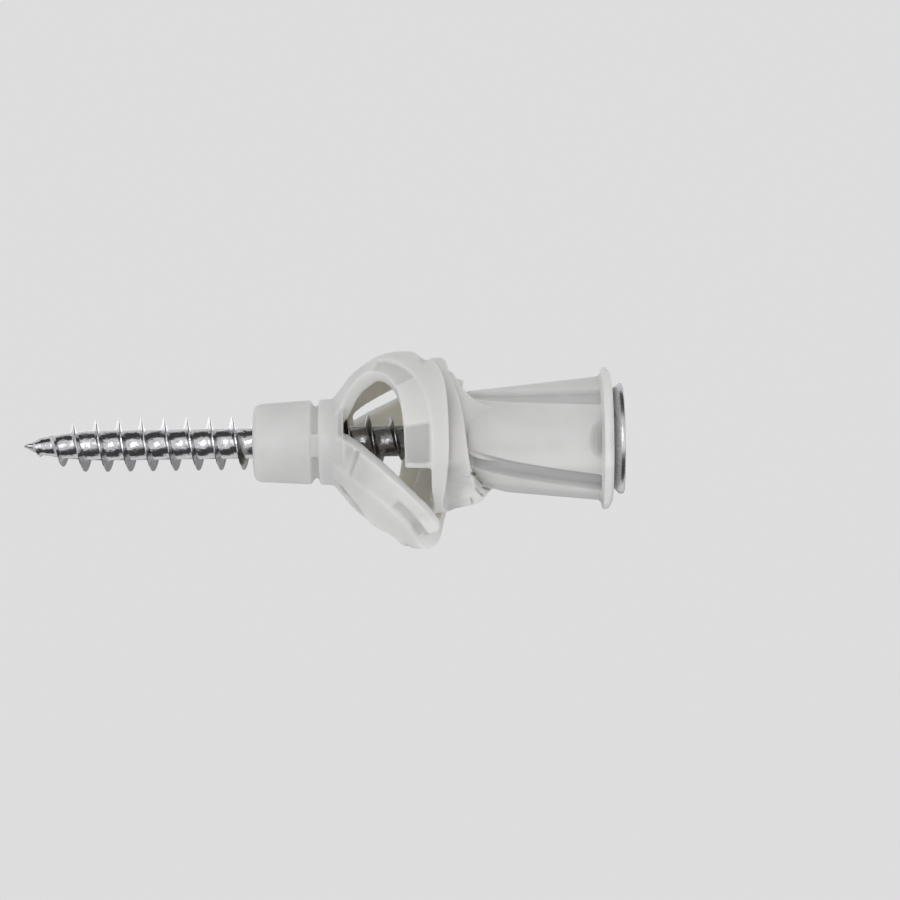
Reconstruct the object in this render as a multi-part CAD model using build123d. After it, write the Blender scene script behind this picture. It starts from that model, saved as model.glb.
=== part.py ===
"""Collared wall plug with its screw, as it sits once it has been tightened in a thin board.

The plug is one nylon moulding: a collar that bears on the wall, a four-panel sleeve that fills
the hole, four legs that have twisted and folded into a knot behind the board, and a nose that
the screw's thread has drawn back. The countersunk screw runs through the whole of it.

Frame, in millimetres: X is the plug's axis, pointing out of the wall, and Z is up. The origin
is the centre of the collar's back face, which lies on the wall. Angles run about X from +Y
through +Z, so a right-hand helix gains angle as X grows.
"""

import math
import os

from build123d import *

# ---- screw ----
SCREW_TIP_X = -67.3
HEAD_PROUD = 1.35  # how far the head's face stands in front of the collar
HEAD_DIAMETER = 13.0
HEAD_LAND = 0.5  # the straight edge under the head's face
HEAD_HALF_ANGLE = 45.0
HEAD_EDGE = 0.12  # the small chamfer round the face
THREAD_DIAMETER = 6.2  # over the crests
POINT_LENGTH = 8.0  # from the tip to the full thread
POINT_FULLNESS = 2.0  # 1 is a plain cone, more is a rounder point
THREAD_LENGTH = 45.0
SHANK_DIAMETER = 4.3  # plain between the thread and the head
RECESS_WIDTH = 6.4
RECESS_SLOT = 1.15
RECESS_DEPTH = 2.6

# ---- fits ----
RUNNING_CLEARANCE = 0.07  # between the thread's crest, or the head's cone, and the plug

# ---- collar ----
COLLAR_DIAMETER = 16.6
COLLAR_THICKNESS = 1.15
COLLAR_EDGE_RADIUS = 0.4
ROOT_BEAD_DIAMETER = 15.0  # small step where the sleeve meets the collar
ROOT_BEAD_LENGTH = 0.25

# ---- sleeve ----
SLEEVE_LENGTH = 15.6
SLEEVE_WALL_DIAMETER = 14.5  # across the panels at the collar
SLEEVE_KNOT_DIAMETER = 11.4  # across the panels where the legs begin
PANELS = 4
PANEL_ANGLE = 69.0  # angular width of a panel, the rest is groove
PANEL_CENTRE = 182.0
GROOVE_DEPTH = 0.6
SLEEVE_TWIST = 26.0  # how far the screw has turned the knot end
SCOOP_DEPTH = 0.5  # shallow relief in two of the panels, next to the collar
SCOOP_LENGTH = 1.9

# ---- nose ----
NOSE_FRONT_X = -40.5
NOSE_LENGTH = 6.7
NOSE_TIP_DIAMETER = 9.1
NOSE_DIAMETER = 9.8
NOSE_EDGE_RADIUS = 0.5
GROOVE_WIDTH = 0.95
GROOVE_DIAMETER = 8.4
RING_LENGTH = 1.2
RING_DIAMETER = 10.0
FUNNEL_LENGTH = 1.7  # the neck's flare, from which the legs spring
FUNNEL_DIAMETER = 12.7

# ---- legs ----
LEG_THICKNESS = 1.8
SHELF_DROP = 0.4  # how far that half lies below the smooth rim
BARB_DROP = 0.12  # and how far the barbs on it do
LIP_WIDTH = 1.3  # of the ridge along a shelf's free edge
SLIT_WIDTH = 1.8  # the split in the back leg
LOWER_SPREAD = 0.5  # how much further the lower leg's shelf reaches than the upper one's
SECTION_SPACING = 1.0  # in stations, between the sections a leg is drawn through

# Stations along a leg's centre line, from the nose to the sleeve: place along X, radius of the
# middle of the wall, angle, and three distances from the centre line: to the rim's outer edge, to
# its inner edge, and to the shelf's edge on the other side. Where the rim has no shelf beside it,
# its inner edge lies past the centre line and is negative.
LEG_TOP = [
    (-31.6, 3.7, 112, 3.0, 0.5, 2.8),
    (-30.0, 5.4, 112, 3.2, 0.5, 2.8),
    (-28.4, 7.6, 113, 3.4, 0.4, 2.8),
    (-26.6, 9.2, 116, 3.8, 0.1, 2.5),
    (-24.9, 10.0, 120, 4.0, 0.0, 2.2),
    (-23.2, 10.4, 129, 4.0, 0.1, 2.1),
    (-21.5, 10.4, 144, 3.4, 0.4, 2.2),
    (-20.6, 10.3, 165, 2.8, 0.6, 2.4),
    (-20.4, 10.1, 189, 2.6, 0.6, 2.4),
    (-20.4, 9.6, 211, 2.2, 0.6, 2.4),
    (-20.3, 8.8, 234, 1.8, 0.6, 2.4),
    (-19.7, 7.8, 259, 1.9, -0.4, 2.4),
    (-18.6, 7.0, 283, 1.7, -1.4, 2.4),
    (-17.3, 6.3, 304, 1.3, -2.2, 2.4),
    (-15.6, 5.7, 323, 1.4, -3.0, 2.4),
    (-13.8, 5.3, 339, 2.2, -3.8, 2.4),
    (-12.2, 5.2, 350, 2.2, -3.6, 2.4),
    (-10.6, 4.9, 358, 2.0, -3.0, 2.4),
]
LEG_FRONT = [
    (-31.6, 3.7, 206, 2.8, 0.6, 2.8),
    (-30.0, 5.3, 206, 2.8, 0.6, 2.8),
    (-28.4, 7.3, 209, 2.8, 0.6, 2.8),
    (-26.6, 9.4, 213, 3.1, 0.4, 2.8),
    (-25.0, 11.0, 218, 3.4, 0.0, 2.8),
    (-23.5, 12.0, 226, 2.9, -0.4, 3.1),
    (-22.3, 12.4, 236, 1.9, -0.5, 3.3),
    (-21.5, 12.5, 248, 1.8, -0.8, 3.1),
    (-21.0, 11.3, 263, 1.9, -1.8, 3.0),
    (-20.8, 9.7, 283, 2.2, -2.2, 2.4),
    (-20.0, 8.6, 308, 2.2, -2.2, 2.4),
    (-18.8, 7.8, 338, 2.2, -2.2, 2.4),
    (-17.9, 7.3, 366, 2.2, -2.2, 2.4),
    (-17.3, 6.7, 389, 2.2, -2.2, 2.4),
    (-16.6, 6.0, 407, 2.2, -2.2, 2.4),
    (-15.4, 5.1, 421, 2.2, -2.2, 2.4),
    (-14.0, 4.3, 431, 2.0, -2.0, 2.4),
]
LEG_BACK = [
    (-31.6, 3.7, 30, 3.0, 0.6, 2.8),
    (-30.0, 5.3, 29, 3.2, 0.6, 2.8),
    (-28.4, 7.4, 30, 3.6, 0.6, 3.3),
    (-26.4, 9.1, 32, 3.9, 0.6, 4.1),
    (-24.2, 10.1, 36, 4.0, 0.6, 4.6),
    (-22.2, 10.6, 44, 3.4, 0.2, 4.4),
    (-20.8, 10.4, 57, 1.9, -0.6, 3.4),
    (-19.9, 9.3, 75, 0.8, -1.5, 2.4),
    (-19.7, 8.0, 94, 1.4, -1.9, 2.4),
    (-19.5, 7.2, 117, 2.2, -2.2, 2.4),
    (-18.8, 7.3, 141, 2.2, -2.2, 2.4),
    (-18.2, 7.6, 166, 2.2, -2.2, 2.4),
    (-17.8, 7.9, 192, 2.2, -2.2, 2.4),
    (-17.3, 8.1, 219, 2.4, -2.4, 2.4),
    (-16.4, 7.9, 243, 2.7, -2.8, 2.4),
    (-14.9, 6.9, 259, 3.0, -2.6, 2.4),
    (-12.8, 3.9, 267, 2.2, -1.6, 2.4),
]

# ---- worked out from the above ----
COLLAR_FRONT_X = COLLAR_THICKNESS
HEAD_FACE_X = COLLAR_FRONT_X + HEAD_PROUD
HEAD_RADIUS = HEAD_DIAMETER / 2
CREST_RADIUS = THREAD_DIAMETER / 2
SHANK_RADIUS = SHANK_DIAMETER / 2
THREAD_END_X = SCREW_TIP_X + THREAD_LENGTH
BORE_RADIUS = CREST_RADIUS + RUNNING_CLEARANCE
NOSE_END_X = NOSE_FRONT_X + NOSE_LENGTH
RING_X = NOSE_END_X + GROOVE_WIDTH
RING_END_X = RING_X + RING_LENGTH
FUNNEL_END_X = RING_END_X + FUNNEL_LENGTH


def about_axis(x, radius, degrees):
    """The point at this radius and angle about the plug's axis."""
    angle = math.radians(degrees)
    return Vector(x, radius * math.cos(angle), radius * math.sin(angle))


def turned(outline):
    """A solid of revolution about X from a closed outline of (x, radius) corners."""
    corners = [(x, 0, radius) for x, radius in outline]
    face = Face(Wire.make_polygon([Vector(*c) for c in corners], close=True))
    return Solid.revolve(face, 360, Axis.X)


def ruled_solid(corner_lines):
    """The solid between smooth curves, each through one corner of every section in turn.
    corner_lines holds one list of points for each corner, in order round the section."""
    spans = len(corner_lines[0]) - 1
    parameters = [i / spans for i in range(spans + 1)]
    edges = [Edge.make_spline(points, parameters=parameters) for points in corner_lines]
    count = len(edges)
    faces = [Face.make_surface_from_curves(edges[i], edges[(i + 1) % count]) for i in range(count)]
    for end in (0, -1):
        faces.append(Face(Wire.make_polygon([points[end] for points in corner_lines], close=True)))
    return Solid(Shell(faces))


# ---------------------------------------------------------------- screw


def screw_blank():
    """Point, threaded length at its crest diameter, plain shank and countersunk head."""
    cone_x = HEAD_FACE_X - HEAD_LAND
    neck_x = cone_x - (HEAD_RADIUS - SHANK_RADIUS) / math.tan(math.radians(HEAD_HALF_ANGLE))
    steps = 6
    shares = [(i / steps) ** 2 for i in range(steps + 1)]
    point = [
        (SCREW_TIP_X + POINT_LENGTH * share, CREST_RADIUS * (1 - (1 - share) ** POINT_FULLNESS))
        for share in shares
    ]
    return turned([
        *point,
        (THREAD_END_X, CREST_RADIUS),
        (THREAD_END_X + CREST_RADIUS - SHANK_RADIUS, SHANK_RADIUS),
        (neck_x, SHANK_RADIUS),
        (cone_x, HEAD_RADIUS),
        (HEAD_FACE_X - HEAD_EDGE, HEAD_RADIUS),
        (HEAD_FACE_X, HEAD_RADIUS - HEAD_EDGE),
        (HEAD_FACE_X, 0),
    ])


def drive_recess():
    """A cross recess that narrows to its floor."""
    wings = Box(RECESS_DEPTH, RECESS_WIDTH, RECESS_SLOT) + Box(RECESS_DEPTH, RECESS_SLOT, RECESS_WIDTH)
    wings = Pos(HEAD_FACE_X - RECESS_DEPTH / 2, 0, 0) * wings
    floor_radius = 1.0
    taper = turned([
        (HEAD_FACE_X - RECESS_DEPTH, 0),
        (HEAD_FACE_X - RECESS_DEPTH, floor_radius),
        (HEAD_FACE_X, RECESS_WIDTH / 2),
        (HEAD_FACE_X, 0),
    ])
    return wings & taper


def make_screw():
    return screw_blank() - drive_recess()


# ---------------------------------------------------------------- plug


def nose_and_neck():
    """Nose, groove, ring and the flare that the legs spring from, turned in one."""
    edge = NOSE_EDGE_RADIUS
    tip = NOSE_TIP_DIAMETER / 2
    ring = RING_DIAMETER / 2
    flare = FUNNEL_DIAMETER / 2 - ring
    curve = [
        (RING_END_X + FUNNEL_LENGTH * math.sin(a), ring + flare * (1 - math.cos(a)))
        for a in (math.radians(step * 90 / 4) for step in range(5))
    ]
    return turned([
        (NOSE_FRONT_X, 0),
        (NOSE_FRONT_X, tip - edge),
        (NOSE_FRONT_X + 0.15 * edge, tip - 0.4 * edge),
        (NOSE_FRONT_X + 0.4 * edge, tip - 0.15 * edge),
        (NOSE_FRONT_X + edge, tip),
        (NOSE_END_X - 0.1, NOSE_DIAMETER / 2),
        (NOSE_END_X, NOSE_DIAMETER / 2 - 0.15),
        (NOSE_END_X + 0.35, GROOVE_DIAMETER / 2),
        (RING_X - 0.1, GROOVE_DIAMETER / 2),
        (RING_X, ring - 0.15),
        (RING_X + 0.2, ring),
        *curve,
        (FUNNEL_END_X + 0.1, FUNNEL_DIAMETER / 2 - 0.8),
        (FUNNEL_END_X - 0.9, BORE_RADIUS),
        (FUNNEL_END_X - 0.9, 0),
    ])


def collar():
    """The collar with its rounded rim, and the small bead at the sleeve's root."""
    rim = COLLAR_DIAMETER / 2
    edge = COLLAR_EDGE_RADIUS
    bead = ROOT_BEAD_DIAMETER / 2
    return turned([
        (-ROOT_BEAD_LENGTH, 0),
        (-ROOT_BEAD_LENGTH, bead),
        (0, bead),
        (0, rim - 0.1),
        (0.1, rim),
        (COLLAR_FRONT_X - edge, rim),
        (COLLAR_FRONT_X - 0.3 * edge, rim - 0.3 * edge),
        (COLLAR_FRONT_X, rim - edge),
        (COLLAR_FRONT_X, 0),
    ])


def sleeve_section(x):
    """The four panels and grooves across the sleeve at x, turned by the twist there."""
    along = -x / SLEEVE_LENGTH
    outer = (SLEEVE_WALL_DIAMETER + (SLEEVE_KNOT_DIAMETER - SLEEVE_WALL_DIAMETER) * along) / 2
    twist = -SLEEVE_TWIST * (0.55 * along + 0.45 * along**4)
    half = PANEL_ANGLE / 2
    step = 3.0  # degrees over which a panel's edge drops into the groove
    edges = []
    for i in range(PANELS):
        centre = PANEL_CENTRE + twist + i * 360 / PANELS
        next_edge = centre + 360 / PANELS - half
        floor = outer - GROOVE_DEPTH
        a, b = about_axis(x, outer, centre - half), about_axis(x, outer, centre + half)
        c = about_axis(x, floor, centre + half + step)
        d = about_axis(x, floor, next_edge - step)
        e = about_axis(x, outer, next_edge)
        groove_middle = about_axis(x, floor, centre + 180 / PANELS)
        edges += [
            Edge.make_three_point_arc(a, about_axis(x, outer, centre), b),
            Edge.make_line(b, c),
            Edge.make_three_point_arc(c, groove_middle, d),
            Edge.make_line(d, e),
        ]
    return Wire(edges)


def sleeve():
    """The twisted four-panel sleeve, closed at both ends."""
    places = [0, -5, -10, -13.5, -SLEEVE_LENGTH]
    return Solid.make_loft([sleeve_section(x) for x in places], ruled=True)


def scoops():
    """The shallow reliefs that are taken out of the front and back panels next to the collar."""
    radius = (SCOOP_LENGTH**2 + SCOOP_DEPTH**2) / (2 * SCOOP_DEPTH)
    cutter = Cylinder(radius, SLEEVE_WALL_DIAMETER)
    cutter = Pos(-ROOT_BEAD_LENGTH, SLEEVE_WALL_DIAMETER / 2 - SCOOP_DEPTH + radius, 0) * cutter
    return [Rot(PANEL_CENTRE + turn, 0, 0) * cutter for turn in (0, 180)]


def station(table, s):
    """The leg's values at station number s, smooth between the listed stations."""
    i = min(int(s), len(table) - 2)
    f = s - i
    before, here = table[max(i - 1, 0)], table[i]
    after, later = table[i + 1], table[min(i + 2, len(table) - 1)]
    return [
        b + 0.5 * f * (c - a + f * (2 * a - 5 * b + 4 * c - d + f * (3 * (b - c) + d - a)))
        for a, b, c, d in zip(before, here, after, later)
    ]


def leg_section(table, s, outline):
    """The corners of a section across a leg at station number s. The outline takes the rim's and the
    shelf's edges and gives (side, height) corners, and the section is crowned to follow the bulge."""
    last = len(table) - 1
    x, radius, angle, *edges = station(table, s)
    here = about_axis(x, radius, angle)
    ahead = about_axis(*station(table, min(s + 0.05, last))[:3])
    behind = about_axis(*station(table, max(s - 0.05, 0))[:3])
    tangent = (ahead - behind).normalized()
    radial = about_axis(0, 1, angle)
    normal = (radial - tangent * radial.dot(tangent)).normalized()
    side = tangent.cross(normal)
    crown = 0.5 * normal.dot(radial) / radius
    return [here + side * u + normal * (v - crown * u * u) for u, v in outline(*edges)]


def leg_bar(table, start, end, outline):
    """A bar along a leg between two station numbers."""
    count = max(3, round((end - start) / SECTION_SPACING))
    sections = [
        leg_section(table, start + (end - start) * i / count, outline)
        for i in range(count + 1)
    ]
    return ruled_solid([list(line) for line in zip(*sections)])


def leg(table, rim_side, shelf_end, barbs, lip_start=None):
    """A leg: a thick smooth rim, a thinner shelf beside it as far as shelf_end, raised barbs across
    the shelf and, from lip_start, a ridge along its free edge. rim_side is -1 or +1, and places
    along the leg are station numbers."""
    top = LEG_THICKNESS / 2
    overlap = 0.3

    def rim(outer, inner, _edge):
        near, far = rim_side * outer, rim_side * inner
        return [(near, -top), (near, top), (far, top), (far, -top)]

    def beside(inner, edge, low, high):
        near, far = rim_side * (inner + overlap), -rim_side * edge
        return [(near, low), (near, high), (far, high), (far, low)]

    def shelf(_outer, inner, edge):
        return beside(inner, edge, -top + 0.1, top - SHELF_DROP)

    def barb(_outer, inner, edge):
        return beside(inner, edge, 0, top - BARB_DROP)

    def lip(_outer, _inner, edge):
        return beside(LIP_WIDTH - overlap - edge, edge, 0, top - BARB_DROP)

    solid = leg_bar(table, 0, len(table) - 1, rim) + leg_bar(table, 0, shelf_end, shelf)
    for start, end in barbs:
        solid = solid + leg_bar(table, start, end, barb)
    if lip_start is not None:
        solid = solid + leg_bar(table, lip_start, shelf_end, lip)
    return solid


def opposite(table, spread):
    """The stations of the leg across the axis, with its shelf reaching further by spread."""
    return [
        (x, radius, angle + 180, outer, inner, edge + spread)
        for x, radius, angle, outer, inner, edge in table
    ]


def bore():
    """The through hole and the countersink, both with the running clearance."""
    cone_x = HEAD_FACE_X - HEAD_LAND
    slope = math.tan(math.radians(HEAD_HALF_ANGLE))
    seat_radius = HEAD_RADIUS + RUNNING_CLEARANCE * math.sqrt(2)
    foot_x = cone_x - (seat_radius - BORE_RADIUS) / slope
    return turned([
        (NOSE_FRONT_X - 1, 0),
        (NOSE_FRONT_X - 1, BORE_RADIUS),
        (foot_x, BORE_RADIUS),
        (cone_x, seat_radius),
        (cone_x + 1, seat_radius),
        (cone_x + 1, 0),
    ])


def slit(table, start, end):
    """The cut that splits a leg between two station numbers."""

    def across(*_edges):
        half = SLIT_WIDTH / 2
        deep = LEG_THICKNESS
        return [(-half, -deep), (-half, deep), (half, deep), (half, -deep)]

    return leg_bar(table, start, end, across)


def make_plug():
    solid = nose_and_neck() + (sleeve() - scoops()) + collar()
    top_barbs = [(0, 3.6), (5.75, 7.2), (8.2, 8.35)]
    solid = solid + leg(LEG_TOP, -1, 8.4, top_barbs)
    solid = solid + leg(opposite(LEG_TOP, LOWER_SPREAD), -1, 8.4, top_barbs)
    solid = solid + leg(LEG_FRONT, +1, 6.25, [(0, 1.7), (2.0, 4.3)], lip_start=4.1)
    solid = solid + (leg(LEG_BACK, +1, 5.8, [(0, 1.5), (4.4, 5.4)]) - slit(LEG_BACK, 1.2, 4.1))
    return solid - bore()


def main():
    os.makedirs("parts", exist_ok=True)
    export_step(make_plug(), "parts/plug.step")
    export_step(make_screw(), "parts/screw.step")


main()
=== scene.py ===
"""Looks for the collar wall plug: the knotted nylon moulding and its plated screw.

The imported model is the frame. Sizes are in millimetres unless a comment says otherwise, as in the
part's own source, and every mesh is brought to metres when it is made. X is the plug's axis,
pointing out of the wall. The camera looks along +Y, so the front has negative y.
"""

import math

import bmesh
import bpy
import numpy as np
from mathutils import Matrix, Vector
from mathutils.bvhtree import BVHTree


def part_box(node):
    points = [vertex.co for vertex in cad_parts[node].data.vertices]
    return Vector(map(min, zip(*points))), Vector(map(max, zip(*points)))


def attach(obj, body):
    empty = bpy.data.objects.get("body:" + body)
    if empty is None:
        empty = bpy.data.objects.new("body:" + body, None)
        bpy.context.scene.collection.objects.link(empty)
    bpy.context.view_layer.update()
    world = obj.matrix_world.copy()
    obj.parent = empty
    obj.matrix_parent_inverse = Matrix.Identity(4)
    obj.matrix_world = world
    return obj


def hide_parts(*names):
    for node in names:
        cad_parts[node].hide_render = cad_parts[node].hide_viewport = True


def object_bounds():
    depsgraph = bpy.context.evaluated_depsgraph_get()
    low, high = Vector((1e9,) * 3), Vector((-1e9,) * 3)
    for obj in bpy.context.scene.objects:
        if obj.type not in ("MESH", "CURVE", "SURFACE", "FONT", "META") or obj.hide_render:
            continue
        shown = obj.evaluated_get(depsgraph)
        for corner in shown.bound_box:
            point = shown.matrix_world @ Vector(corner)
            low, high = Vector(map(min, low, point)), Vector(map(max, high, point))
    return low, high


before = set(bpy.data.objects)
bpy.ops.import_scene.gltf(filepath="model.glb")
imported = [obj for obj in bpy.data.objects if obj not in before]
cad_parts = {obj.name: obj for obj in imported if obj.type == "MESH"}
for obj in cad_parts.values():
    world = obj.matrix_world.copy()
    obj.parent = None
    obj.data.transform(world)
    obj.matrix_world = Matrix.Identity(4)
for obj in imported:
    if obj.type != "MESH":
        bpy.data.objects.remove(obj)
cad_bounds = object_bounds()

MM = 0.001
X, Y, Z = 0, 1, 2
SCREW_TIP_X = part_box("screw")[0].x / MM

# ---- screw thread ----
PITCH = 2.645
THREAD_STEPS = 60  # per turn
PHASE_X = -58.93  # a crest passes the top here
THREAD_END_X = SCREW_TIP_X + 45.0
CORE_RUN_ON = 1.9  # the core goes on this far past the last turn, inside the shank
SHANK_CUT_X = THREAD_END_X + 1.8  # the turned blank is kept from here on
CREST_FLAT = 0.05  # half width
FLANK_RUN = 0.26  # from the crest's edge to the core, along the axis
ROOT_FILLET = 0.09
FOOT_HEIGHT = 0.07  # share of the thread's height at which the flank meets the fillet
SHARP_EDGE = 32  # degrees
CREST_PROFILE = [  # place from the tip, radius
    (0.0, 0.10), (0.3, 0.28), (1.0, 0.46), (1.3, 0.80), (1.7, 1.20),
    (3.1, 1.35), (4.5, 2.45), (5.8, 2.75), (7.2, 3.07), (8.0, 3.1),
]
CORE_PROFILE = [
    (0.0, 0.10), (0.3, 0.26), (1.0, 0.42), (1.3, 0.75), (1.7, 0.95),
    (3.0, 1.15), (4.8, 1.46), (7.3, 1.70), (9.3, 1.77),
]

# ---- screw, its finish and painted shadow ----
FINISH_AND_SHADE_SPAN = (-0.04, 0.01)  # along x, m
# ends of the point's, the inner part's and the head's finish, as shares of that span; the inner
# part's colour also carries painted shadow
FINISH_AND_SHADE_STOPS = (0.17, 0.23, 0.77, 0.80)

# ---- moulding, its shape ----
NECK_END_X = -30.5
SLEEVE_END_X = -15.0
SLEEVE_DIAMETERS = (14.5, 11.4)  # at the collar and at the knot
COLLAR_THICKNESS = 1.15
COLLAR_CROWN = 0.38  # how much thinner the collar is at its rim
CROWN_START, CROWN_WIDTH = 7.2, 1.1  # radius at which it starts to thin, and over what
NOSE_ROUND = (-39.5, 1.0, 0.075)  # where the nose starts to round off, over what, by what share
TORN_EDGE = [  # flap where the upper leg runs into the sleeve, seen from the front: (x, z)
    (-18.5, 7.9), (-17.3, 7.65), (-16.85, 7.2), (-15.95, 6.95),
    (-16.1, 6.3), (-16.0, 5.5), (-18.2, 5.6),
]
TORN_EDGE_DEPTH = (-1.3, 0.5)  # along y
FOLD_LUMP = [(-30.4, 6.0), (-29.9, 6.65), (-29.0, 6.8), (-28.4, 6.5), (-29.0, 5.6)]
FOLD_LUMP_DEPTH = (-0.9, 0.8)
NECK_RIB = ((3.5, 4.62), (-34.5, -32.7), (168, 203))  # radii, x, degrees; one more opposite
RIB_STATIONS = 9
SCORES = [  # short creases where a leg tucks into the sleeve, from the front: ends (x, z), depth
    ((-14.75, -5.6), (-13.95, -6.5), 0.30),
    ((-13.9, -5.5), (-13.1, -5.85), 0.22),
    ((-15.35, -6.75), (-15.2, -7.25), 0.18),
    ((-15.25, -3.8), (-14.9, -4.0), 0.30),
]
SCORE_WIDTH = 0.11
PRESSES = [  # soft pushes on the folds, from the front: centre (x, z), reach, push (x, z)
    ((-22.95, -12.6), 0.75, (0.10, 0.42)),
    ((-20.6, 9.8), 0.8, (0.0, -0.55)),
    ((-12.9, -7.0), 1.1, (-0.25, 0.70)),
]

# ---- moulding, its mesh ----
VOXEL = 0.14
KEPT_SHARE = 0.34  # of the remeshed triangles
SMOOTH_PASSES = 5
CRISP_FROM_X = -15.5  # the sleeve and collar stay crisp
CRISP_FLAP = (-19.0, 5.3)  # and so does the torn flap, past this x and above this z
CRISP_SHARE = 0.2  # of the smoothing
ROOT_PASSES = 20  # more, where the legs leave the nose, and at the barbs of the front leg
ROOT_SPAN = (-32.6, -29.6)
WORN_SPOTS = [((-28.7, -6.7, -2.7), 1.6), ((-22.8, -9.2, -8.0), 2.3)]  # middle, reach
MARK_PASSES = 2

# ---- moulding, its marks of painted light and shade and of whitening; a range is where a mark starts and where it is full ----
COLLAR_PAINTED_LIGHT = (0.3, (-0.15, 0.1))  # painted light on the collar, which light soaks through: share, along x
BACKS_WHITENING_AND_LIGHT = (0.3, (7.5, 11.0))  # stress whitening with painted light on the legs' stretched backs: share, radius
LOWER_PAINTED_LIGHT = [  # painted light on the front's lower side: share, then each axis with its range
    (0.7, (X, (-22.0, -21.0)), (Z, (-8.5, -9.5))),  # where the front leg ends
    # where the upper leg tucks in
    (0.9, (X, (-17.0, -15.8)), (Z, (-5.2, -6.2)), (X, (-11.5, -12.5))),
    (0.5, (X, (-15.5, -14.5)), (Z, (-0.5, -2.5)), (Z, (-3.7, -3.1))),
]
UPPER_SIDE = (0.6, (1.0, 4.0))  # how much weaker the painted shade is on the upper side, where the light falls, z
GROOVE_RELIEF = (0.02, 0.32)  # how far below the panels the sleeve's grooves lie
GROOVE_RADII = (3.6, 4.4)
SIDE_TURN = (0.25, 0.6)  # how far a groove's wall turns sideways
SIDE_X = (0.0, 0.3)  # from the collar's back
BELLY = (0.55, (-3.5, -5.0), (3.6, 2.6))  # painted shade, darker towards the sleeve's underside: share, z, distance from the middle plane
SCOOP_SHADE = (0.38, (2.0, 4.4), (1.0, 0.2))  # share, half sizes along x and z, range in them
SCOOP_END_X = 0.05
# wall thickness at which the painted shade on the legs' barbed shelves starts and is full
SHELF_WALL = (1.62, 1.40)
OUTWARD_TURN = (0.1, 0.5)  # how far a face turns out from the axis
INWARD_TURN = (-0.1, 0.5)
THICK_WALL = 3.0  # no wall is looked for beyond this
WORN_SHADE_FADE = 0.45  # how much of the painted shade is lost at a worn spot
SLEEVE_FOLD = (0.7, (-18.2, -17.9), (-16.1, -17.0), (-2.2, -3.4))  # painted shade in a recess where a leg is folded in by the sleeve: share, x, x, z

# ---- camera, in lengths of the object ----
CAMERA_DISTANCE = 5.3
CAMERA_HALF_VIEW = 0.752
CAMERA_TARGET = (0.211, -0.0162)  # from the object's middle along x, from the axis along z
CAMERA_ROLL = 0.83  # degrees

# ---- stage and light; sizes and places in spans of the object ----
PAPER = 0.735
PAPER_GLOW = 0.95  # how much of its tone it shows by itself; the rest takes light and shadow
WORLD = 0.71
LAMP_DISTANCE = 6.0
LAMPS = [  # name, direction, size, watts
    ("key", (-0.10, -1.0, 0.10), (2.6, 2.0), 0.36),
    ("left_fill", (-1.0, -0.7, 0.1), (2.5, 2.5), 0.10),
    ("right_fill", (1.0, -0.6, -0.3), (2.0, 2.5), 0.16),
]
CARDS = [  # name, place, size, tone, upright, glow
    ("upper_flag", (0, -0.25, 1.0), (4.0, 1.15), 0.06, False, 0),
    ("lower_flag", (0, -0.60, -0.95), (9.0, 1.47), 0.06, False, 0),
    ("back_flag", (0, 0.9, -0.28), (6.0, 0.50), 0.34, True, 0),
    ("back_card", (0.25, 0.9, 0.20), (2.2, 0.34), 0.06, True, 1.25),
]


# ---------------------------------------------------------------- small tools


def link(name, mesh):
    """A new object in the scene with this mesh or lamp."""
    obj = bpy.data.objects.new(name, mesh)
    bpy.context.scene.collection.objects.link(obj)
    return obj


def mesh_from(name, points, faces):
    """A mesh in metres from points in millimetres."""
    mesh = bpy.data.meshes.new(name)
    mesh.from_pydata([tuple(c * MM for c in p) for p in points], [], faces)
    mesh.update()
    return mesh


def points_of(mesh):
    """The mesh's points in millimetres, as rows."""
    flat = np.empty(len(mesh.vertices) * 3)
    mesh.vertices.foreach_get("co", flat)
    return flat.reshape(-1, 3) / MM


def applied(obj):
    """The object's mesh with its modifiers applied; the modifiers are then taken off."""
    graph = bpy.context.evaluated_depsgraph_get()
    graph.update()
    mesh = bpy.data.meshes.new_from_object(obj.evaluated_get(graph))
    obj.modifiers.clear()
    obj.data = mesh
    return mesh


def shade_smooth(mesh):
    """Smooth shading on every face."""
    mesh.polygons.foreach_set("use_smooth", [True] * len(mesh.polygons))


def stepped(value, start, end):
    """0 before start, 1 after end, smooth between."""
    share = min(max((value - start) / (end - start), 0.0), 1.0)
    return share * share * (3 - 2 * share)


def between(profile, place):
    """The profile's value at this place, straight between its stations."""
    places, values = zip(*profile)
    return float(np.interp(place, places, values))


# ---------------------------------------------------------------- materials


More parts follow.
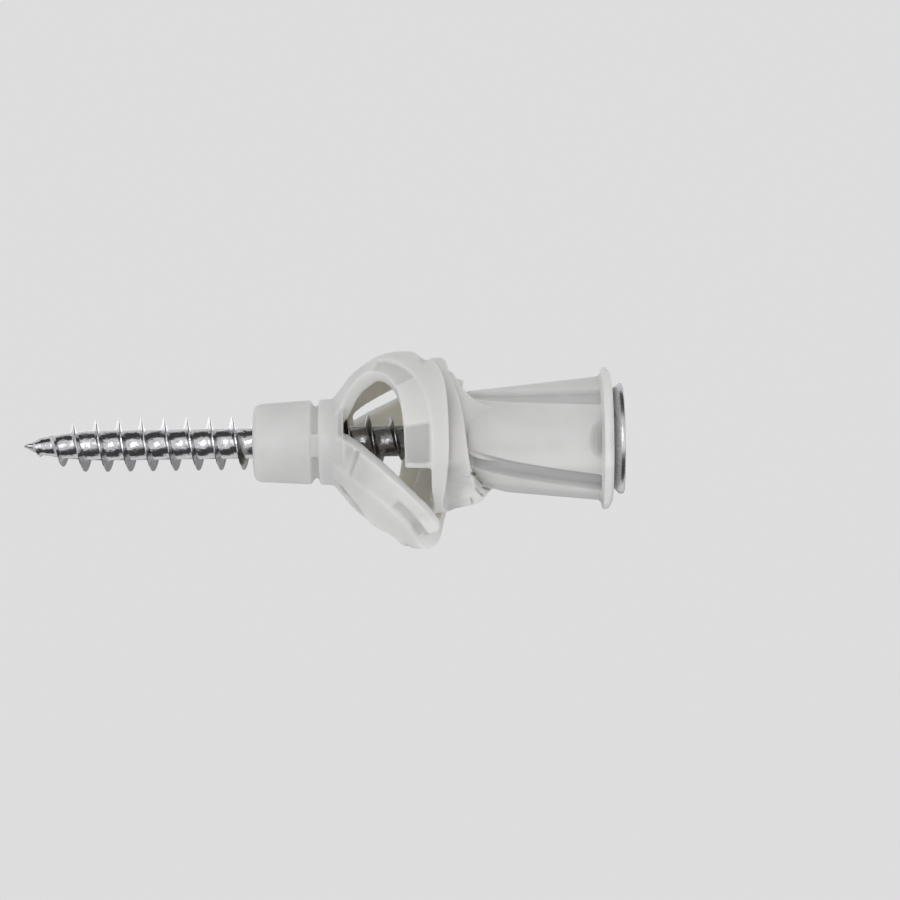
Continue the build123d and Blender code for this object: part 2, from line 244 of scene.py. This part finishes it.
class Nodes:
    """A short way to build a material's node tree."""

    def __init__(self, name):
        self.material = bpy.data.materials.new(name)
        self.material.use_nodes = True
        self.tree = self.material.node_tree
        self.shader = self.tree.nodes["Principled BSDF"]

    def feed(self, socket, value):
        """Links the socket to another one, or sets it to a plain value."""
        if isinstance(value, bpy.types.NodeSocket):
            self.tree.links.new(value, socket)
        else:
            socket.default_value = value

    def add(self, kind, inputs=None, **settings):
        """A new node with these settings, its inputs fed by name or number."""
        node = self.tree.nodes.new(kind)
        for key, value in settings.items():
            setattr(node, key, value)
        for key, value in (inputs or {}).items():
            self.feed(node.inputs[key], value)
        return node

    def set(self, **values):
        """Feeds the main shader's inputs, with _ for a space in their names."""
        for key, value in values.items():
            self.feed(self.shader.inputs[key.replace("_", " ")], value)

    def noise(self, place, scale, detail, roughness):
        """A noise texture's value."""
        inputs = {"Vector": place, "Scale": scale, "Detail": detail, "Roughness": roughness}
        return self.add("ShaderNodeTexNoise", inputs).outputs["Fac"]

    def span(self, value, **ends):
        """The value carried from one range to another."""
        inputs = {key.replace("_", " "): end for key, end in ends.items()}
        return self.add("ShaderNodeMapRange", {"Value": value, **inputs}).outputs["Result"]

    def combine(self, operation, one, other):
        """The two values put together by a math operation."""
        return self.add("ShaderNodeMath", {0: one, 1: other}, operation=operation).outputs[0]

    def bump(self, height, strength, distance, **under):
        """A normal raised by height, distance in metres, on top of another one if that is given."""
        inputs = {"Height": height, "Strength": strength, "Distance": distance, **under}
        return self.add("ShaderNodeBump", inputs).outputs["Normal"]

    def ramp(self, factor, stops):
        """A colour ramp. Each stop is a place and a colour."""
        node = self.add("ShaderNodeValToRGB", {"Fac": factor})
        elements = node.color_ramp.elements
        while len(elements) < len(stops):
            elements.new(0.5)
        for element, (place, colour) in zip(elements, stops):
            element.position = place
            element.color = (*colour, 1)
        return node.outputs["Color"]

    def blend(self, mode, share, one, other):
        """The colour one, taken towards other by share. Each may be a socket or a plain value."""
        node = self.add("ShaderNodeMix", {0: share}, data_type="RGBA", blend_type=mode)
        colours = [socket for socket in node.inputs if socket.type == "RGBA"]
        for socket, value in zip(colours, (one, other)):
            self.feed(socket, (*value, 1) if isinstance(value, tuple) else value)
        return [socket for socket in node.outputs if socket.type == "RGBA"][0]


def nylon_material():
    """Natural nylon: off-white, slightly cloudy, with painted shade, warmer and darker, in its
    creases.
    """
    n = Nodes("natural_nylon")
    place = n.add("ShaderNodeTexCoord").outputs["Object"]
    cloud = n.noise(place, 180.0, 3.0, 0.55)
    colour = n.ramp(cloud, [(0.35, (0.63, 0.63, 0.625)), (0.65, (0.68, 0.68, 0.675))])
    reach = {"Distance": 0.0035, "Color": (1, 1, 1, 1)}
    # painted shade: warmer and darker where ambient occlusion finds creases and hollows
    occlusion = n.add("ShaderNodeAmbientOcclusion", reach, samples=8).outputs["AO"]
    crease_shade = n.ramp(occlusion, [(0.0, (0.84, 0.81, 0.73)), (0.65, (1, 1, 1))])
    painted_shade, painted_inner_light, light_and_whitening, score_shade = (
        n.add("ShaderNodeAttribute", attribute_name=name).outputs["Fac"]
        for name in ("painted_shade", "painted_inner_light", "light_and_whitening", "score_shade")
    )
    # in turn: painted light with stress whitening, painted shade in creases, painted shade in the
    # grooves, underside, scoops and shelves, painted warm light on the inward faces, painted shade
    # along the scores
    for mode, share, other in (
        ("MIX", light_and_whitening, (0.80, 0.80, 0.79)),
        ("MULTIPLY", 1.0, crease_shade),
        ("MULTIPLY", painted_shade, (0.71, 0.71, 0.715)),
        ("MIX", painted_inner_light, (0.775, 0.755, 0.695)),
        ("MULTIPLY", score_shade, (0.50, 0.50, 0.49)),
    ):
        colour = n.blend(mode, share, colour, other)
    grain = n.bump(n.noise(place, 2600.0, 2.0, 0.6), 0.08, 0.00004)
    n.set(
        Base_Color=colour,
        Roughness=n.span(cloud, To_Min=0.40, To_Max=0.54),
        Normal=n.bump(n.noise(place, 420.0, 2.0, 0.5), 0.16, 0.00015, Normal=grain),
        IOR=1.53,
        Subsurface_Weight=0.65,
        Subsurface_Radius=(1.0, 0.95, 0.85),
        Subsurface_Scale=0.0022,
    )
    return n.material


def plated_material():
    """Bright zinc plate over a rolled thread: mirror-like, with small pits and rolling marks."""
    n = Nodes("bright_plated_steel")
    place = n.add("ShaderNodeTexCoord").outputs["Object"]
    pits = n.noise(place, 2600.0, 3.0, 0.6)
    rolls = n.noise(place, 900.0, 2.0, 0.5)
    tone = n.ramp(pits, [(0.3, (0.62, 0.62, 0.64)), (0.6, (0.76, 0.76, 0.78))])
    along = n.add("ShaderNodeSeparateXYZ", {"Vector": place}).outputs["X"]
    along = n.span(along, From_Min=FINISH_AND_SHADE_SPAN[0], From_Max=FINISH_AND_SHADE_SPAN[1])

    def zones(point, inner, head):
        """A grey that differs on the point's side, within the plug and on the head; in the colour,
        the part within the plug is darkened with painted shadow.
        """
        stops = zip(FINISH_AND_SHADE_STOPS, (point, inner, inner, head))
        return n.ramp(along, [(share, (grey, grey, grey)) for share, grey in stops])

    relief = zones(1, 1, 0.12)
    rough = n.span(rolls, To_Min=0.10, To_Max=0.26)
    n.set(
        # the base colour within the plug is darkened to 0.36: painted shadow of the knot on the
        # thread
        Base_Color=n.blend("MULTIPLY", 1.0, tone, zones(1, 0.36, 1)),
        Metallic=1.0,
        Roughness=n.combine("ADD", rough, zones(0, 0.06, 0.10)),
        Normal=n.bump(rolls, relief, 0.00012, Normal=n.bump(pits, relief, 0.00004)),
    )
    return n.material


def paper_material():
    """Pale paper. It shows its own colour to the camera and in reflections, and takes shadow."""
    n = Nodes("studio_paper")
    colour = (PAPER, PAPER, PAPER, 1)
    n.set(Base_Color=colour, Roughness=0.9)
    path = n.add("ShaderNodeLightPath").outputs
    seen = n.combine("MAXIMUM", path["Is Camera Ray"], path["Is Glossy Ray"])
    seen = n.combine("MAXIMUM", seen, path["Is Transmission Ray"])
    glow = n.add("ShaderNodeEmission", {"Color": colour, "Strength": 1.0}).outputs[0]
    own = n.combine("MULTIPLY", seen, PAPER_GLOW)
    mix = n.add("ShaderNodeMixShader", {"Fac": own, 1: n.shader.outputs[0], 2: glow})
    n.feed(n.tree.nodes["Material Output"].inputs["Surface"], mix.outputs[0])
    return n.material


# ---------------------------------------------------------------- screw


def thread_mesh():
    """Core and thread in one skin: the profile across one pitch, along a right-hand helix."""
    half = PITCH / 2
    foot = CREST_FLAT + FLANK_RUN
    profile = [
        (-half, 0), (-foot - ROOT_FILLET, 0), (-foot, FOOT_HEIGHT), (-CREST_FLAT, 1),
        (CREST_FLAT, 1), (foot, FOOT_HEIGHT), (foot + ROOT_FILLET, 0), (half, 0),
    ]
    first = math.floor((SCREW_TIP_X - half - PHASE_X) / PITCH * THREAD_STEPS)
    last = math.ceil((THREAD_END_X + half + CORE_RUN_ON - PHASE_X) / PITCH * THREAD_STEPS)
    points, faces = [], []
    for i in range(first, last + 1):
        middle = PHASE_X + PITCH * i / THREAD_STEPS
        angle = math.pi / 2 + 2 * math.pi * i / THREAD_STEPS
        fade = min(max((THREAD_END_X - middle) / PITCH, 0), 1)
        for along, height in profile:
            x = middle + along
            from_tip = max(x - SCREW_TIP_X, 0)
            core, crest = between(CORE_PROFILE, from_tip), between(CREST_PROFILE, from_tip)
            radius = core + (crest - core) * height * fade
            if x < SCREW_TIP_X:
                radius = 0.0
            y, z = radius * math.cos(angle), radius * math.sin(angle)
            points.append((max(x, SCREW_TIP_X), y, z))
    width = len(profile)
    for i in range(last - first):
        for k in range(width - 1):
            a = i * width + k
            faces.append((a, a + width, a + width + 1, a + 1))
    return mesh_from("thread", points, faces)


def head_and_shank():
    """The turned blank's mesh without its threaded part, closed where it is cut."""
    blank = bmesh.new()
    blank.from_mesh(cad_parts["screw"].data)
    bmesh.ops.remove_doubles(blank, verts=blank.verts, dist=1e-6)
    cut = bmesh.ops.bisect_plane(
        blank, geom=[*blank.verts, *blank.edges, *blank.faces],
        plane_co=(SHANK_CUT_X * MM, 0, 0), plane_no=(1, 0, 0), clear_inner=True,
    )
    rim = [e for e in cut["geom_cut"] if isinstance(e, bmesh.types.BMEdge)]
    bmesh.ops.edgeloop_fill(blank, edges=rim)
    mesh = bpy.data.meshes.new("blank")
    blank.to_mesh(mesh)
    blank.free()
    return mesh


def make_screw(material):
    """The head and shank with the threaded part in front of them."""
    mesh = thread_mesh()
    part = bmesh.new()
    part.from_mesh(mesh)
    bmesh.ops.remove_doubles(part, verts=part.verts, dist=2e-6)
    bmesh.ops.dissolve_degenerate(part, edges=part.edges, dist=1e-7)
    part.from_mesh(head_and_shank())
    bmesh.ops.recalc_face_normals(part, faces=part.faces)
    part.to_mesh(mesh)
    part.free()
    mesh.materials.clear()
    mesh.materials.append(material)
    for polygon in mesh.polygons:
        polygon.material_index = 0
    shade_smooth(mesh)
    mesh.set_sharp_from_angle(angle=math.radians(SHARP_EDGE))
    screw = link("threaded_screw", mesh)
    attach(screw, "screw")
    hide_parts("screw")


# ---------------------------------------------------------------- plug


def score_reaches(places):
    """For each score, how far each point is from it as seen from the front, with its depth."""
    far = 9.0  # stands for the distance of whatever lies behind
    found = []
    for start, end, depth in SCORES:
        start, run = np.array(start), np.array(end) - np.array(start)
        offset = places[:, (X, Z)] - start
        share = np.clip(offset @ run / (run @ run), 0, 1)
        reach = np.linalg.norm(offset - share[:, None] * run, axis=1)
        found.append((np.where(places[:, Y] < 0, reach, far), depth))
    return found


def light_and_whitening_mark(place, radius):
    """Painted light on the collar, which light soaks through, and on the front's lower folds;
    the stretched backs of the legs are lighter, with stress whitening and painted light.
    """
    collar, collar_range = COLLAR_PAINTED_LIGHT
    backs, backs_range = BACKS_WHITENING_AND_LIGHT
    mark = collar * stepped(place.x, *collar_range) + backs * stepped(radius, *backs_range)
    if place.y < 0 and place.z < 0:
        for share, *limits in LOWER_PAINTED_LIGHT:
            for axis, reach in limits:
                share *= stepped(place[axis], *reach)
            mark += share
    return mark


def sleeve_painted_shade(place, normal, radius, side):
    """Painted shade on the sleeve: in its grooves, under it and in the scoops by the collar."""
    wide, narrow = SLEEVE_DIAMETERS
    panel = (wide + (narrow - wide) * (place.x / SLEEVE_END_X)) / 2
    sideways = abs(place.y * normal.z - place.z * normal.y) / radius
    groove = stepped(panel - radius, *GROOVE_RELIEF) * stepped(radius, *GROOVE_RADII)
    wall = stepped(sideways, *SIDE_TURN) * stepped(-place.x, *SIDE_X)
    share, depth, width = BELLY
    belly = share * stepped(place.z, *depth) * stepped(abs(place.y), *width)
    painted_shade = max(side * max(groove, wall), belly)
    if abs(place.y) > abs(place.z) and place.x < SCOOP_END_X:
        share, (long, high), reach = SCOOP_SHADE
        painted_shade = max(painted_shade, share * stepped(math.hypot(place.x / long, place.z / high), *reach))
    return painted_shade


def leg_painted_shade(place, normal, wall, outward, side):
    """Painted shade on a leg: on its barbed shelf, apart from worn spots, and where it is folded
    in.
    """
    painted_shade = side * stepped(wall, *SHELF_WALL) * stepped(outward, *OUTWARD_TURN)
    for centre, reach in WORN_SPOTS:
        from_spot = (place - Vector(centre)).length
        painted_shade *= 1 - WORN_SHADE_FADE * stepped(from_spot, reach, 0.5 * reach)
    if place.y < 0:
        share, start, end, depth = SLEEVE_FOLD
        fold = stepped(place.x, *start) * stepped(place.x, *end)
        painted_shade = max(painted_shade, share * fold * stepped(place.z, *depth))
    return painted_shade


def paint_light_and_shade(mesh):
    """Four vertex marks. Painted shade in the sleeve's grooves, under it and in its scoops, and on
    the legs' barbed shelves where the wall is slim. Painted light, a warm light tone, on the faces
    of the folded legs that look at the screw. Painted light on the collar and the front's lower
    folds, with stress whitening on the stretched backs of the legs. Painted shade in the creases by
    the sleeve."""
    corners = [v.co[:] for v in mesh.vertices]
    tree = BVHTree.FromPolygons(corners, [p.vertices[:] for p in mesh.polygons])
    painted_shade, painted_inner_light, light_and_whitening = (np.zeros(len(mesh.vertices)) for _ in range(3))
    weaker, upper = UPPER_SIDE
    for i, vertex in enumerate(mesh.vertices):
        place, normal = vertex.co / MM, vertex.normal
        radius = math.hypot(place.y, place.z)
        outward = (place.y * normal.y + place.z * normal.z) / radius
        side = 1 - weaker * stepped(place.z, *upper)
        light_and_whitening[i] = light_and_whitening_mark(place, radius)
        if place.x > SLEEVE_END_X:
            painted_shade[i] = sleeve_painted_shade(place, normal, radius, side)
        elif place.x > NECK_END_X:
            hit = tree.ray_cast(vertex.co - normal * 1e-5, -normal, THICK_WALL * MM)
            wall = hit[3] / MM if hit[0] is not None else THICK_WALL
            painted_shade[i] = leg_painted_shade(place, normal, wall, outward, side)
            # painted light, a warm light tone, on faces that turn in towards the screw
            painted_inner_light[i] = stepped(-outward, *INWARD_TURN)
    reaches = score_reaches(points_of(mesh))
    # painted shade along the scores
    score_shade = np.max([np.exp(-(reach / SCORE_WIDTH) ** 2) for reach, _ in reaches], axis=0)

    graph = bmesh.new()
    graph.from_mesh(mesh)
    links = [[e.other_vert(v).index for e in v.link_edges] for v in graph.verts]
    graph.free()
    for name, marks, passes in (
        ("painted_shade", painted_shade, MARK_PASSES),
        ("painted_inner_light", painted_inner_light, MARK_PASSES),
        ("light_and_whitening", light_and_whitening, MARK_PASSES),
        ("score_shade", score_shade, 0),
    ):
        for _ in range(passes):
            spread = [0.5 * marks[i] + 0.5 * marks[near].mean() for i, near in enumerate(links)]
            marks = np.array(spread)
        layer = mesh.attributes.new(name, "FLOAT", "POINT")
        layer.data.foreach_set("value", marks.astype(np.float32))


def drop_crumbs(mesh):
    """Only the largest connected body stays, without the loose crumbs that a remesh can leave."""
    part = bmesh.new()
    part.from_mesh(mesh)
    largest, seen = set(), set()
    for seed in part.verts:
        if seed in seen:
            continue
        body, front = {seed}, [seed]
        while front:
            vertex = front.pop()
            for edge in vertex.link_edges:
                other = edge.other_vert(vertex)
                if other not in body:
                    body.add(other)
                    front.append(other)
        seen |= body
        if len(body) > len(largest):
            largest = body
    bmesh.ops.delete(part, geom=[v for v in part.verts if v not in largest], context="VERTS")
    part.to_mesh(mesh)
    part.free()


def prism(name, near, far):
    """A solid between two like outlines."""
    count = len(near)
    sides = [(i, (i + 1) % count, count + (i + 1) % count, count + i) for i in range(count)]
    ends = [tuple(range(count))[::-1], tuple(range(count, 2 * count))]
    return mesh_from(name, near + far, ends + sides)


def slab(outline, depth):
    """A flat solid with this (x, z) outline between two places along y."""
    return prism("slab", *([(x, y, z) for x, z in outline] for y in depth))


def ring_piece(radii, across, degrees):
    """A piece of a ring about the axis, between two radii, places along x and angles."""
    inner, outer = radii
    angles = [math.radians(d) for d in np.linspace(*degrees, RIB_STATIONS)]
    outline = [(outer, a) for a in angles] + [(inner, a) for a in reversed(angles)]
    ends = ([(x, r * math.cos(a), r * math.sin(a)) for r, a in outline] for x in across)
    return prism("rib", *ends)


def moulding():
    """The CAD plug with the torn flap, the fold's lump and the neck's ribs, not yet joined."""
    solid = bmesh.new()
    solid.from_mesh(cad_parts["plug"].data)
    solid.from_mesh(slab(TORN_EDGE, TORN_EDGE_DEPTH))
    solid.from_mesh(slab(FOLD_LUMP, FOLD_LUMP_DEPTH))
    radii, across, degrees = NECK_RIB
    for turn in (0, 180):
        solid.from_mesh(ring_piece(radii, across, [d + turn for d in degrees]))
    mesh = bpy.data.meshes.new("knotted_plug")
    solid.to_mesh(mesh)
    solid.free()
    return mesh


def remeshed(obj):
    """The object's mesh as one skin of even faces."""
    weld = obj.modifiers.new("weld", "WELD")
    weld.merge_threshold = 1e-6
    remesh = obj.modifiers.new("remesh", "REMESH")
    remesh.mode = "VOXEL"
    remesh.voxel_size = VOXEL * MM
    return applied(obj)


def softened(obj, name, passes, shares):
    """The object's mesh, smoothed. shares has masks of points, each with its share of it."""
    group = obj.vertex_groups.new(name=name)
    for chosen, share in shares:
        group.add(np.flatnonzero(chosen).tolist(), share, "REPLACE")
    modifier = obj.modifiers.new(name, "SMOOTH")
    modifier.factor = 0.5
    modifier.iterations = passes
    modifier.vertex_group = group.name
    return applied(obj)


def finely_shaped(places, normals):
    """The points with the scores, presses, crowned collar and rounded nose."""
    for reach, depth in score_reaches(places):
        places -= normals * (depth * np.exp(-(reach / SCORE_WIDTH) ** 2))[:, None]
    for centre, reach, push in PRESSES:
        offset = places[:, (X, Z)] - centre
        share = np.exp(-(offset ** 2).sum(axis=1) / reach ** 2)
        places[:, (X, Z)] += share[:, None] * np.array(push)
    radius = np.hypot(places[:, Y], places[:, Z])
    rim = np.clip((radius - CROWN_START) / CROWN_WIDTH, 0, 1)
    rim = rim * rim * (3 - 2 * rim)
    places[:, X] -= COLLAR_CROWN * rim * np.clip(places[:, X] / COLLAR_THICKNESS, 0, 1)
    start, length, share = NOSE_ROUND
    places[:, 1:] *= 1 - share * (np.clip((start - places[:, :1]) / length, 0, 1) ** 2)
    return places


def make_plug(material):
    """The moulding with the soft edges, torn flap and run-together folds that real nylon has."""
    plug = link("knotted_plug", moulding())
    places = points_of(remeshed(plug))
    flap_x, flap_z = CRISP_FLAP
    crisp = places[:, X] > CRISP_FROM_X
    crisp |= (places[:, X] > flap_x) & (places[:, Z] > flap_z)
    places = points_of(softened(plug, "soft", SMOOTH_PASSES, [(crisp, CRISP_SHARE), (~crisp, 1.0)]))
    start, end = ROOT_SPAN
    worn = (places[:, X] > start) & (places[:, X] < end)
    for centre, reach in WORN_SPOTS:
        worn |= np.linalg.norm(places - centre, axis=1) < reach
    mesh = softened(plug, "root", ROOT_PASSES, [(worn, 1.0)])

    normals = np.array([v.normal[:] for v in mesh.vertices])
    places = finely_shaped(points_of(mesh), normals)
    mesh.vertices.foreach_set("co", (places * MM).ravel())
    mesh.update()
    thinned = plug.modifiers.new("thinned", "DECIMATE")
    thinned.ratio = KEPT_SHARE
    mesh = applied(plug)
    drop_crumbs(mesh)
    mesh.materials.clear()
    mesh.materials.append(material)
    shade_smooth(mesh)
    paint_light_and_shade(mesh)
    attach(plug, "plug")
    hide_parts("plug")


# ---------------------------------------------------------------- stage, light, camera


def make_stage(centre, size):
    """A pale round floor whose edge sweeps up into a backdrop all round."""
    drop, reach, bend, height = 1.1 * size, 7.0 * size, 3.0 * size, 9.0 * size
    outline = [(0.0, 0.0), (reach * 0.5, 0.0), (reach, 0.0)]
    outline += [
        (reach + bend * math.sin(a), bend * (1 - math.cos(a)))
        for a in (math.radians(d) for d in range(6, 91, 6))
    ]
    outline.append((reach + bend, height))
    turns, width = 96, len(outline)
    points, faces = [], []
    for i in range(turns):
        angle = 2 * math.pi * i / turns
        cos, sin = math.cos(angle), math.sin(angle)
        points += [(r * cos / MM, r * sin / MM, h / MM) for r, h in outline]
        here, there = i * width, (i + 1) % turns * width
        faces += [(here + k, there + k, there + k + 1, here + k + 1) for k in range(width - 1)]
    mesh = mesh_from("studio_floor", points, faces)
    shade_smooth(mesh)
    mesh.materials.append(paper_material())
    floor = link("studio_floor", mesh)
    # the world lights the object evenly from all round, through the backdrop
    floor.visible_diffuse = floor.visible_shadow = False
    floor.location = (centre.x, centre.y, centre.z - drop)


def area_light(name, target, direction, distance, size, power):
    """A rectangular lamp that looks at the target from this direction."""
    light = bpy.data.lights.new(name, "AREA")
    light.shape = "RECTANGLE"
    light.size, light.size_y = size
    light.energy = power
    lamp = link(name, light)
    towards = Vector(direction).normalized()
    lamp.location = target + towards * distance
    lamp.rotation_euler = (-towards).to_track_quat("-Z", "Y").to_euler()


def studio_card(name, centre, size, tone, upright, glow):
    """A dark or white card that only reflections see, so that bright metal has it to mirror."""
    n = Nodes(name)
    n.set(Base_Color=(tone, tone, tone, 1), Roughness=1.0)
    if glow:
        n.set(Emission_Color=(1, 1, 1, 1), Emission_Strength=glow)
    x, y = (side / 2 / MM for side in size)
    mesh = mesh_from(name, [(-x, -y, 0), (x, -y, 0), (x, y, 0), (-x, y, 0)], [(0, 1, 2, 3)])
    mesh.materials.append(n.material)
    card = link(name, mesh)
    card.location = centre
    if upright:
        card.rotation_euler.x = math.radians(90)
    for ray in ("camera", "diffuse", "transmission", "volume_scatter", "shadow"):
        setattr(card, "visible_" + ray, False)


def make_lights(centre, span):
    """An even world, weak lamps in front and the cards for the metal."""
    world = bpy.data.worlds.new("studio")
    bpy.context.scene.world = world
    world.use_nodes = True
    back = world.node_tree.nodes["Background"]
    back.inputs["Color"].default_value = (WORLD, WORLD, WORLD, 1)
    back.inputs["Strength"].default_value = 1.0
    for name, direction, (width, height), power in LAMPS:
        size = (width * span, height * span)
        area_light(name, centre, direction, LAMP_DISTANCE * span, size, power)
    for name, place, (width, height), *looks in CARDS:
        studio_card(name, centre + Vector(place) * span, (width * span, height * span), *looks)


def make_camera(lo, hi):
    """Level, square to the axis, a little way towards the collar from the middle of the screw."""
    length = hi.x - lo.x
    distance = CAMERA_DISTANCE * length
    camera = bpy.data.cameras.new("camera")
    camera.angle = 2 * math.atan(CAMERA_HALF_VIEW * length / distance)
    camera.clip_start, camera.clip_end = 0.01, 20
    view = link("camera", camera)
    aside, below = CAMERA_TARGET
    target = Vector(((lo.x + hi.x) / 2 + aside * length, 0, below * length))
    roll = Matrix.Rotation(math.radians(CAMERA_ROLL), 4, "Y")
    upright = Matrix.Rotation(math.radians(90), 4, "X")
    view.matrix_world = Matrix.Translation(target - Vector((0, distance, 0))) @ roll @ upright
    bpy.context.scene.camera = view


# ---------------------------------------------------------------- all of it

bpy.context.scene.view_settings.view_transform = "Standard"
low, high = cad_bounds
make_camera(low, high)
make_screw(plated_material())
make_plug(nylon_material())
middle, span = (low + high) / 2, (high - low).length
make_stage(middle, span)
make_lights(middle, span)
